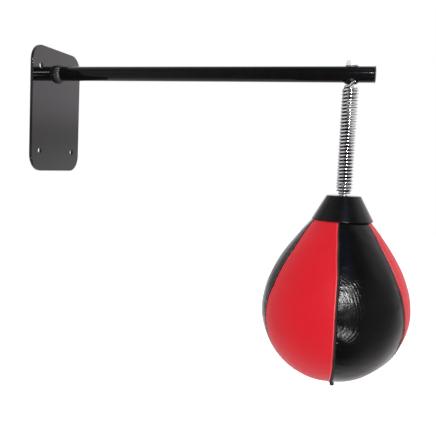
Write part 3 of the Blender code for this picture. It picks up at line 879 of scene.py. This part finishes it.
s1 = coil("coil_upper", SPRING_TOP, -0.088, taper0=True)
s2 = coil("coil_middle", -0.088, -0.148)
s3 = coil("coil_lower", -0.148, SPRING_LOW, taper1=True)
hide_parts("spring_upper")
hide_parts("spring_lower")
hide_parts("spring_lower")
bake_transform(s1)
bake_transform(s2)
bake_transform(s3)

# ---------------------------------------------------------------- bracket
TUBE_R, TUBE_WALL = 0.0125, 0.002
T0, T1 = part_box("arm_tube")[0].x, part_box("arm_tube")[1].x
arm = lathe("arm", round_profile([(TUBE_R - TUBE_WALL, T0), (TUBE_R, T0), (TUBE_R, T1), (TUBE_R - TUBE_WALL, T1)], 0.0004), 128, along="X", mats=[paint.m], sharp=40)
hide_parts("arm_tube")
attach(arm, "bracket")

P0, P1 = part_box("arm_end_plug")
plug_pts = [(0.0, T1 - 0.010), (0.0098, T1 - 0.010), (0.0101, T1 - 0.001), (0.0101, T1 + 0.0003), (0.0125, T1 + 0.0003), (0.0129, T1 + 0.0008), (0.0129, T1 + 0.0018)]
for k in range(1, 9):
    a = math.pi / 2 * k / 8
    plug_pts.append((0.0129 * math.cos(a) ** 0.45 if k < 8 else 0.0, T1 + 0.0018 + (P1.x - T1 - 0.0018) * math.sin(a)))
plug = lathe("arm_plug", plug_pts, 96, along="X", mats=[plastic.m], sharp=50)
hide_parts("arm_end_plug")
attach(plug, "bracket")

W0, W1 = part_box("root_weld")


def weld_wobble(r, h, t):
    """Stacked ripples of a hand-laid bead, fuller under the arm."""
    f = (r - 0.0128) / 0.0030
    leg = 0.0030 - 0.0014 * math.sin(t)
    k = 24 * t + 0.9 * math.sin(3 * t) + 260 * (h - W0.x)
    a = (0.00032 * math.sin(k) + 0.0002 * math.sin(5 * t + 1.0)) * min(1.0, f * 1.5)
    return 0.0128 + f * leg + a, h + 0.0004 * math.sin(k + 1.2) * min(1.0, max(0.0, (h - W0.x) / 0.003))


bead = [(0.0128, W0.x), (0.0158, W0.x)]
for k in range(1, 16):
    a = math.pi / 2 * k / 16
    bead.append((0.0128 + 0.0030 * math.cos(a) ** 1.6, W0.x + 0.0002 + 0.0088 * math.sin(a) ** 1.1))
bead.append((0.0128, W0.x + 0.0091))
weld = lathe("weld_bead", bead, 200, along="X", wobble=weld_wobble, mats=[weld_paint.m], sharp=70)
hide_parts("root_weld")
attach(weld, "bracket")


def plate_piece():
    cz, cy = (PLATE_LO.z + PLATE_HI.z) / 2, (PLATE_LO.y + PLATE_HI.y) / 2
    w, h = PLATE_HI.y - PLATE_LO.y, PLATE_HI.z - PLATE_LO.z
    t = PLATE_HI.x - PLATE_LO.x
    bevel = 0.0008
    cd = bpy.data.curves.new("plate", "CURVE")
    cd.dimensions = "2D"
    cd.fill_mode = "BOTH"

    def loop(points, cyclic=True):
        sp = cd.splines.new("POLY")
        sp.points.add(len(points) - 1)
        for q, (x, y) in zip(sp.points, points):
            q.co = (x, y, 0, 1)
        sp.use_cyclic_u = cyclic

    R = 0.029
    outline = []
    for qx, qy, a0 in ((1, 1, 0), (-1, 1, 90), (-1, -1, 180), (1, -1, 270)):
        for k in range(19):
            a = math.radians(a0 + 5 * k)
            outline.append((qx * (w / 2 - R) + R * math.cos(a), qy * (h / 2 - R) + R * math.sin(a)))
    loop(outline)
    cd.extrude = t / 2 - bevel
    cd.bevel_depth = bevel
    cd.bevel_resolution = 3
    cd.offset = -bevel
    tmp = bpy.data.objects.new("plate_curve", cd)
    ROOT.objects.link(tmp)
    bpy.context.view_layer.update()
    me = bpy.data.meshes.new_from_object(tmp.evaluated_get(bpy.context.evaluated_depsgraph_get()))
    bpy.data.objects.remove(tmp)
    bpy.data.curves.remove(cd)
    bm = bmesh.new()
    bm.from_mesh(me)
    bmesh.ops.remove_doubles(bm, verts=bm.verts, dist=2e-5)
    bmesh.ops.dissolve_degenerate(bm, edges=bm.edges, dist=1e-6)
    bmesh.ops.recalc_face_normals(bm, faces=bm.faces)
    # local (x, y, z) -> world (y, z, x)
    for v in bm.verts:
        x, y, z = v.co
        v.co = (z + (PLATE_LO.x + PLATE_HI.x) / 2, x + cy, y + cz)
    bmesh.ops.recalc_face_normals(bm, faces=bm.faces)
    me2 = bpy.data.meshes.new("backplate")
    bm.to_mesh(me2)
    bm.free()
    o = bpy.data.objects.new("backplate", me2)
    ROOT.objects.link(o)
    me2.materials.clear()
    me2.materials.append(plate_paint.m)
    for sy in (1, -1):
        for sz in (1, -1):
            tool = lathe("hole_tool", [(0.0, PLATE_LO.x - 0.01), (0.0055, PLATE_LO.x - 0.01), (0.0055, PLATE_HI.x + 0.01), (0.0, PLATE_HI.x + 0.01)], 48,
                         at=(0, cy + sy * 0.0533, cz + sz * 0.0722), along="X")
            cut = o.modifiers.new("hole", "BOOLEAN")
            cut.operation, cut.solver, cut.object = "DIFFERENCE", "EXACT", tool
            bpy.context.view_layer.update()
            done = bpy.data.meshes.new_from_object(o.evaluated_get(bpy.context.evaluated_depsgraph_get()))
            o.modifiers.clear()
            o.data = done
            bpy.data.objects.remove(tool)
    # flat faces stay flat, only the rim is rounded
    bm = bmesh.new()
    bm.from_mesh(o.data)
    bm.faces.ensure_lookup_table()
    for f in bm.faces:
        f.smooth = abs(f.normal.x) < 0.999
    for e in bm.edges:
        if len(e.link_faces) == 2:
            a, b = e.link_faces
            e.smooth = not (a.smooth != b.smooth or a.normal.angle(b.normal, 0) > math.radians(40))
    bm.to_mesh(o.data)
    bm.free()
    o.data.materials.clear()
    o.data.materials.append(plate_paint.m)
    return o


plate = plate_piece()
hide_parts("wall_plate")
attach(plate, "bracket")

# ---------------------------------------------------------------- fasteners
def hexed(half_flat, phase=0.0):
    def f(r, h, t):
        a = (t - phase) % (math.pi / 3) - math.pi / 6
        return min(r, half_flat / math.cos(a)), h
    return f


def turned(name, node, pts, body, mat, sides=72, wobble=None, sharp=35, rounding=0.0002):
    prof = round_profile(pts, rounding, 2) if rounding else pts
    o = lathe(name, prof, sides, at=(DROP_X, 0, 0), wobble=wobble, mats=[mat.m], sharp=sharp)
    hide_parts(node)
    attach(o, body)
    return o


def nut_points(r_hole, z0, z1, half_flat):
    c = half_flat / math.cos(math.pi / 6)
    ch = 0.0009
    return [(r_hole, z0), (half_flat * 0.95, z0), (c, z0 + ch), (c, z1 - ch), (half_flat * 0.95, z1), (r_hole, z1)]


ph = math.radians(22)
turned("washer_on_arm", "top_washer", [(0.0053, 0.0128), (0.0102, 0.0128), (0.0102, 0.0142), (0.0053, 0.0142)], "bracket", zinc)
turned("nut_on_arm", "top_nut", nut_points(0.0053, 0.0145, 0.0211, 0.008), "bracket", zinc, sides=144, wobble=hexed(0.008, ph), rounding=0)
bolt = [(0.0, 0.0208), (0.0042, 0.0208), (0.005, 0.0200)]
z = 0.0200
while z > -0.0270:
    bolt += [(0.005, z - 0.0002), (0.0046, z - 0.0005), (0.005, z - 0.0008)]
    z -= 0.0010
B0, B1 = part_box("upper_spring_bolt")
hw = max(abs(B0.y), abs(B1.y))
bolt += [(0.005, -0.0300), (0.005, -0.0305)]
c8 = 0.0065 / math.cos(math.pi / 6)
bolt += [(0.0062, -0.0305), (c8, -0.0313), (c8, -0.0363), (0.0062, -0.0369), (0.0, -0.0369)]


def bolt_head(half_flat, z_lo, z_hi, phase):
    f = hexed(half_flat, phase)

    def g(r, h, t):
        return f(r, h, t) if z_lo <= h <= z_hi else (r, h)
    return g


turned("upper_bolt", "upper_spring_bolt", bolt, "bracket", zinc, sides=72, wobble=bolt_head(0.0065, -0.0370, -0.0304, ph), rounding=0)
turned("upper_seat", "upper_spring_seat", [(0.0053, -0.0302), (0.0089, -0.0302), (0.0089, -0.0286), (0.0053, -0.0286)], "bracket", zinc)
turned("lower_seat_ring", "lower_spring_seat", [(0.0043, -0.1763), (0.0089, -0.1763), (0.0089, -0.1747), (0.0043, -0.1747)], "lower_seat", zinc)
lb = [(0.0, -0.1691), (0.0062, -0.1691), (c8, -0.1697), (c8, -0.1738), (0.0062, -0.1744), (0.004, -0.1744)]
z = -0.1750
while z > -0.2130:
    lb += [(0.004, z - 0.0002), (0.0037, z - 0.0005), (0.004, z - 0.0008)]
    z -= 0.0010
lb += [(0.0034, -0.2144), (0.0, -0.2144)]
turned("lower_bolt", "lower_spring_bolt", lb, "ball", zinc, sides=72, wobble=bolt_head(0.0065, -0.1745, -0.1690, 0.3), rounding=0)
turned("washer_on_cap", "cap_washer", [(0.0043, -0.1889), (0.0077, -0.1889), (0.0077, -0.1879), (0.0043, -0.1879)], "ball", zinc)


# moulded saddle that the spring sits against, its top hollowed to the tube
def saddle_piece():
    prof = round_profile([(0.0054, -0.0150), (0.0078, -0.0150), (0.0092, -0.0142), (0.0108, -0.0128), (0.0112, -0.0112), (0.0112, -0.0060), (0.0054, -0.0060)], 0.0006, 3)
    sides = 128
    verts, faces = [], []
    for r, h in prof:
        for k in range(sides):
            t = 2 * math.pi * k / sides
            x, y = r * math.cos(t), r * math.sin(t)
            top = -math.sqrt(max(0.0, 0.0128 ** 2 - y * y)) if abs(y) < 0.0128 else 0.0
            top = min(top, -0.0080) if abs(y) >= 0.0100 else top
            verts.append((x + DROP_X, y, min(h, top)))
    n = len(prof)
    for i in range(n):
        j = (i + 1) % n
        for k in range(sides):
            k2 = (k + 1) % sides
            faces.append((i * sides + k, j * sides + k, j * sides + k2, i * sides + k2))
    o = add_mesh("saddle", verts, faces, [buffer.m], True, 45)
    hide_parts("arm_saddle")
    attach(o, "bracket")
    return o


saddle_piece()

# ---------------------------------------------------------------- neck cap
cap_pts = [(0.0043, CAP_TOP - 0.0030), (0.0043, CAP_TOP), (0.0264, CAP_TOP), (0.0273, CAP_TOP - 0.0007),
           (0.0480, CAP_RIM + 0.0014), (0.0481, CAP_RIM + 0.0004), (0.0472, CAP_RIM), (0.0461, CAP_RIM), (0.0258, CAP_TOP - 0.0030)]
cap = lathe("neck_cap_shell", round_profile(cap_pts, 0.0003, 3), 160, at=(DROP_X, 0, 0), mats=[plastic.m], sharp=50)
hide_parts("neck_cap")
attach(cap, "ball")

# ---------------------------------------------------------------- bladder
def bladder_piece():
    """Thin air bladder pressed against the inside of the cover, open at the valve."""
    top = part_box("bladder")[1].z
    rows = [i for i in range(0, ROWS + 1, 3) if ROW_Z[i] < top - 0.0010 and FRAMES[i][1] > 0.0050]
    sides = 120
    verts, faces, rims = [], [], []
    for depth in (-0.0056, -0.0066):
        first = len(verts)
        for i in rows:
            for k in range(sides):
                p = surface(i, 360 * k / sides, depth)
                verts.append(surface(i, 360 * k / sides, depth + 0.0003 * noise.noise(p * 40)))
        centre = LEAN[rows[0]]
        verts.append(Vector((DROP_X + centre.x, centre.y, verts[first].z + (0.0006 if depth > -0.006 else 0.0002))))
        rims.append(first)
    for side, first in enumerate(rims):
        hub = first + len(rows) * sides
        for j in range(len(rows) - 1):
            for k in range(sides):
                k2 = (k + 1) % sides
                quad = (first + j * sides + k, first + (j + 1) * sides + k, first + (j + 1) * sides + k2, first + j * sides + k2)
                faces.append(quad if side == 0 else quad[::-1])
        for k in range(sides):
            tri = (hub, first + k, first + (k + 1) % sides)
            faces.append(tri if side == 0 else tri[::-1])
    a0, b0 = rims[0] + (len(rows) - 1) * sides, rims[1] + (len(rows) - 1) * sides
    for k in range(sides):
        k2 = (k + 1) % sides
        faces.append((a0 + k, b0 + k, b0 + k2, a0 + k2))
    o = add_mesh("air_bladder", verts, faces, [rubber.m], True, 60)
    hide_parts("bladder")
    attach(o, "ball")


bladder_piece()

# ---------------------------------------------------------------- inflation valve
VALVE_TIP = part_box("valve")[0].z
vp = [(0.0, VALVE_TIP + 0.0060), (0.0009, VALVE_TIP + 0.0060), (0.0010, VALVE_TIP + 0.0004), (0.0014, VALVE_TIP), (0.0030, VALVE_TIP), (0.0036, VALVE_TIP + 0.0008),
      (0.0036, VALVE_TIP + 0.0060), (0.0034, VALVE_TIP + 0.0064), (0.0034, VALVE_TIP + 0.0074), (0.0036, VALVE_TIP + 0.0078), (0.0036, -0.4800), (0.0, -0.4800)]
valve = lathe("valve_stem", round_profile(vp, 0.0004, 2), 48, at=(DROP_X, 0, 0), mats=[rubber.m], sharp=50)
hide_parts("valve")
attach(valve, "ball")
